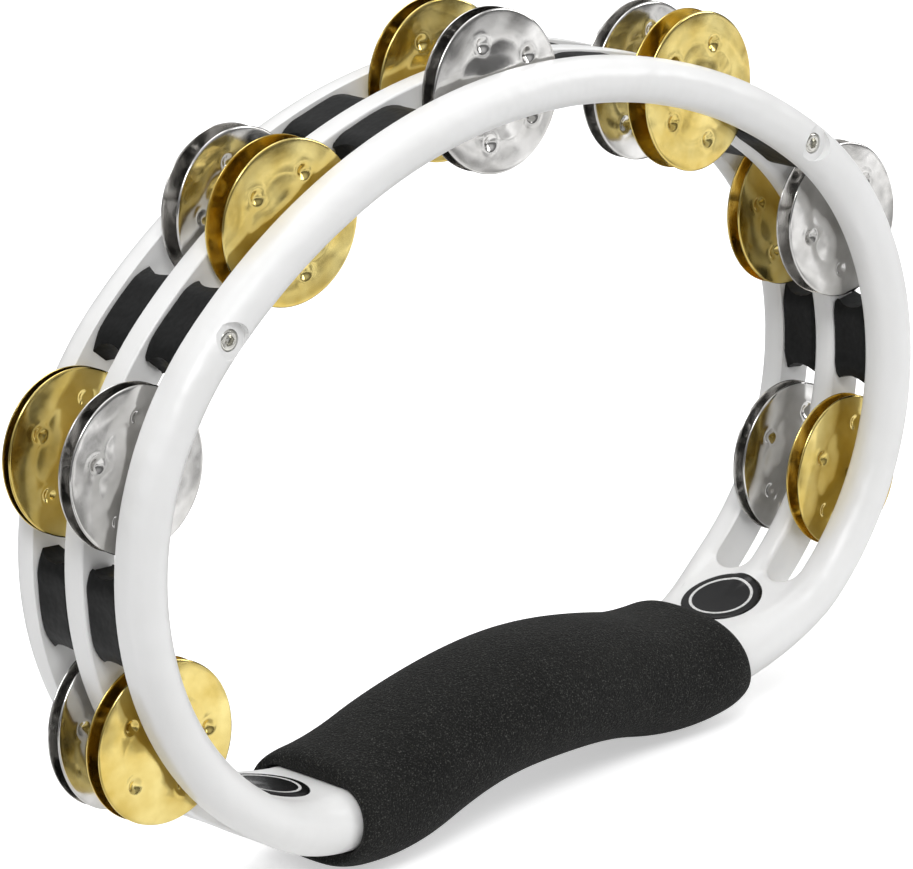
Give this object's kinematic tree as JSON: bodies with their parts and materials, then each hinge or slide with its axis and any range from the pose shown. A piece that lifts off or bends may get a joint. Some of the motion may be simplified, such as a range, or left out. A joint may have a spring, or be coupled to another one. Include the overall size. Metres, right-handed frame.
{
  "type": "tambourine",
  "caption": "Hand-held oval tambourine with paired brass and steel jingles on pins between white rims, black rubber spacers and a bowed foam-covered grip.",
  "frame": {"origin": "centre of the grip, on the handle's centreline and midway through the depth of the ring", "axes": "+X along the handle, +Y from the front row of jingles to the rear row, +Z from the handle up across the ring"},
  "size_m": [0.2654, 0.0462, 0.1918],
  "materials": {
    "white_abs": "moulded white ABS, satin to gloss",
    "black_rubber": "satin black rubber",
    "black_foam": "matte closed-cell foam",
    "badge": "gloss black plastic, plain",
    "brass_sheet": "polished stamped brass sheet",
    "steel_sheet": "polished nickel-plated steel sheet",
    "pin_steel": "plain steel wire",
    "screw_steel": "zinc-plated steel"
  },
  "bodies": {
    "frame": {"front_rim": "white_abs", "middle_rim": "white_abs", "back_rim": "white_abs", "foam_grip": "black_foam", "left_badge": "badge", "right_badge": "badge", "rim_screws": "screw_steel", "handle_screws": "screw_steel", "front_spacer_1": "black_rubber", "front_spacer_2": "black_rubber", "front_spacer_3": "black_rubber", "front_spacer_4": "black_rubber", "front_spacer_5": "black_rubber", "front_spacer_6": "black_rubber", "rear_spacer_1": "black_rubber", "rear_spacer_2": "black_rubber", "rear_spacer_3": "black_rubber", "rear_spacer_4": "black_rubber", "rear_spacer_5": "black_rubber", "rear_spacer_6": "black_rubber"},
    "pin_1": {"pin_1": "pin_steel"},
    "pin_2": {"pin_2": "pin_steel"},
    "pin_3": {"pin_3": "pin_steel"},
    "pin_4": {"pin_4": "pin_steel"},
    "pin_5": {"pin_5": "pin_steel"},
    "pin_6": {"pin_6": "pin_steel"},
    "pin_7": {"pin_7": "pin_steel"},
    "front_jingle_1a": {"front_jingle_1a": "brass_sheet"},
    "front_jingle_1b": {"front_jingle_1b": "brass_sheet"},
    "front_jingle_2a": {"front_jingle_2a": "steel_sheet"},
    "front_jingle_2b": {"front_jingle_2b": "steel_sheet"},
    "front_jingle_3a": {"front_jingle_3a": "brass_sheet"},
    "front_jingle_3b": {"front_jingle_3b": "brass_sheet"},
    "front_jingle_4a": {"front_jingle_4a": "steel_sheet"},
    "front_jingle_4b": {"front_jingle_4b": "steel_sheet"},
    "front_jingle_5a": {"front_jingle_5a": "brass_sheet"},
    "front_jingle_5b": {"front_jingle_5b": "brass_sheet"},
    "front_jingle_6a": {"front_jingle_6a": "steel_sheet"},
    "front_jingle_6b": {"front_jingle_6b": "steel_sheet"},
    "front_jingle_7a": {"front_jingle_7a": "brass_sheet"},
    "front_jingle_7b": {"front_jingle_7b": "brass_sheet"},
    "rear_jingle_1a": {"rear_jingle_1a": "steel_sheet"},
    "rear_jingle_1b": {"rear_jingle_1b": "steel_sheet"},
    "rear_jingle_2a": {"rear_jingle_2a": "brass_sheet"},
    "rear_jingle_2b": {"rear_jingle_2b": "brass_sheet"},
    "rear_jingle_3a": {"rear_jingle_3a": "steel_sheet"},
    "rear_jingle_3b": {"rear_jingle_3b": "steel_sheet"},
    "rear_jingle_4a": {"rear_jingle_4a": "brass_sheet"},
    "rear_jingle_4b": {"rear_jingle_4b": "brass_sheet"},
    "rear_jingle_5a": {"rear_jingle_5a": "steel_sheet"},
    "rear_jingle_5b": {"rear_jingle_5b": "steel_sheet"},
    "rear_jingle_6a": {"rear_jingle_6a": "brass_sheet"},
    "rear_jingle_6b": {"rear_jingle_6b": "brass_sheet"},
    "rear_jingle_7a": {"rear_jingle_7a": "steel_sheet"},
    "rear_jingle_7b": {"rear_jingle_7b": "steel_sheet"}
  },
  "joints": [
    {"name": "pin_1_spin", "type": "hinge", "parent": "frame", "child": "pin_1", "pos_m": [-0.11155, 0, 0.02756], "axis": [0, 1, 0], "continuous": true},
    {"name": "pin_2_spin", "type": "hinge", "parent": "frame", "child": "pin_2", "pos_m": [-0.11366, 0, 0.09207], "axis": [0, 1, 0], "continuous": true},
    {"name": "pin_3_spin", "type": "hinge", "parent": "frame", "child": "pin_3", "pos_m": [-0.06473, 0, 0.13594], "axis": [0, 1, 0], "continuous": true},
    {"name": "pin_4_spin", "type": "hinge", "parent": "frame", "child": "pin_4", "pos_m": [0, 0, 0.15086], "axis": [0, 1, 0], "continuous": true},
    {"name": "pin_5_spin", "type": "hinge", "parent": "frame", "child": "pin_5", "pos_m": [0.06473, 0, 0.13594], "axis": [0, 1, 0], "continuous": true},
    {"name": "pin_6_spin", "type": "hinge", "parent": "frame", "child": "pin_6", "pos_m": [0.11366, 0, 0.09207], "axis": [0, 1, 0], "continuous": true},
    {"name": "pin_7_spin", "type": "hinge", "parent": "frame", "child": "pin_7", "pos_m": [0.11155, 0, 0.02756], "axis": [0, 1, 0], "continuous": true},
    {"name": "front_jingle_1a_slide", "type": "slide", "parent": "pin_1", "child": "front_jingle_1a", "axis": [0, 1, 0], "range_m": [-0.0016, 0.0013]},
    {"name": "front_jingle_1b_slide", "type": "slide", "parent": "pin_1", "child": "front_jingle_1b", "axis": [0, 1, 0], "range_m": [-0.0013, 0.0006]},
    {"name": "front_jingle_2a_slide", "type": "slide", "parent": "pin_2", "child": "front_jingle_2a", "axis": [0, 1, 0], "range_m": [-0.0005, 0.00125]},
    {"name": "front_jingle_2b_slide", "type": "slide", "parent": "pin_2", "child": "front_jingle_2b", "axis": [0, 1, 0], "range_m": [-0.00125, 0.0018]},
    {"name": "front_jingle_3a_slide", "type": "slide", "parent": "pin_3", "child": "front_jingle_3a", "axis": [0, 1, 0], "range_m": [-0.0002, 0.0022]},
    {"name": "front_jingle_3b_slide", "type": "slide", "parent": "pin_3", "child": "front_jingle_3b", "axis": [0, 1, 0], "range_m": [-0.0022, 0.0002]},
    {"name": "front_jingle_4a_slide", "type": "slide", "parent": "pin_4", "child": "front_jingle_4a", "axis": [0, 1, 0], "range_m": [-0.0005, 0.0012]},
    {"name": "front_jingle_4b_slide", "type": "slide", "parent": "pin_4", "child": "front_jingle_4b", "axis": [0, 1, 0], "range_m": [-0.0012, 0.0019]},
    {"name": "front_jingle_5a_slide", "type": "slide", "parent": "pin_5", "child": "front_jingle_5a", "axis": [0, 1, 0], "range_m": [-0.0002, 0.0022]},
    {"name": "front_jingle_5b_slide", "type": "slide", "parent": "pin_5", "child": "front_jingle_5b", "axis": [0, 1, 0], "range_m": [-0.0022, 0.0002]},
    {"name": "front_jingle_6a_slide", "type": "slide", "parent": "pin_6", "child": "front_jingle_6a", "axis": [0, 1, 0], "range_m": [-0.0017, 0.00145]},
    {"name": "front_jingle_6b_slide", "type": "slide", "parent": "pin_6", "child": "front_jingle_6b", "axis": [0, 1, 0], "range_m": [-0.00145, 0.0002]},
    {"name": "front_jingle_7a_slide", "type": "slide", "parent": "pin_7", "child": "front_jingle_7a", "axis": [0, 1, 0], "range_m": [-0.0018, 0.00105]},
    {"name": "front_jingle_7b_slide", "type": "slide", "parent": "pin_7", "child": "front_jingle_7b", "axis": [0, 1, 0], "range_m": [-0.00105, 0.0009]},
    {"name": "rear_jingle_1a_slide", "type": "slide", "parent": "pin_1", "child": "rear_jingle_1a", "axis": [0, 1, 0], "range_m": [-0.0008, 0.00095]},
    {"name": "rear_jingle_1b_slide", "type": "slide", "parent": "pin_1", "child": "rear_jingle_1b", "axis": [0, 1, 0], "range_m": [-0.00095, 0.0021]},
    {"name": "rear_jingle_2a_slide", "type": "slide", "parent": "pin_2", "child": "rear_jingle_2a", "axis": [0, 1, 0], "range_m": [-0.0039, 0.00035]},
    {"name": "rear_jingle_2b_slide", "type": "slide", "parent": "pin_2", "child": "rear_jingle_2b", "axis": [0, 1, 0], "range_m": [-0.00035, 0.0002]},
    {"name": "rear_jingle_3a_slide", "type": "slide", "parent": "pin_3", "child": "rear_jingle_3a", "axis": [0, 1, 0], "range_m": [-0.0002, 0.00185]},
    {"name": "rear_jingle_3b_slide", "type": "slide", "parent": "pin_3", "child": "rear_jingle_3b", "axis": [0, 1, 0], "range_m": [-0.00185, 0.0009]},
    {"name": "rear_jingle_4a_slide", "type": "slide", "parent": "pin_4", "child": "rear_jingle_4a", "axis": [0, 1, 0], "range_m": [-0.0011, 0.0013]},
    {"name": "rear_jingle_4b_slide", "type": "slide", "parent": "pin_4", "child": "rear_jingle_4b", "axis": [0, 1, 0], "range_m": [-0.0013, 0.0011]},
    {"name": "rear_jingle_5a_slide", "type": "slide", "parent": "pin_5", "child": "rear_jingle_5a", "axis": [0, 1, 0], "range_m": [-0.0006, 0.0011]},
    {"name": "rear_jingle_5b_slide", "type": "slide", "parent": "pin_5", "child": "rear_jingle_5b", "axis": [0, 1, 0], "range_m": [-0.0011, 0.002]},
    {"name": "rear_jingle_6a_slide", "type": "slide", "parent": "pin_6", "child": "rear_jingle_6a", "axis": [0, 1, 0], "range_m": [-0.0025, 0.00105]},
    {"name": "rear_jingle_6b_slide", "type": "slide", "parent": "pin_6", "child": "rear_jingle_6b", "axis": [0, 1, 0], "range_m": [-0.00105, 0.0002]},
    {"name": "rear_jingle_7a_slide", "type": "slide", "parent": "pin_7", "child": "rear_jingle_7a", "axis": [0, 1, 0], "range_m": [-0.0027, 0.00095]},
    {"name": "rear_jingle_7b_slide", "type": "slide", "parent": "pin_7", "child": "rear_jingle_7b", "axis": [0, 1, 0], "range_m": [-0.00095, 0.00009]}
  ]
}
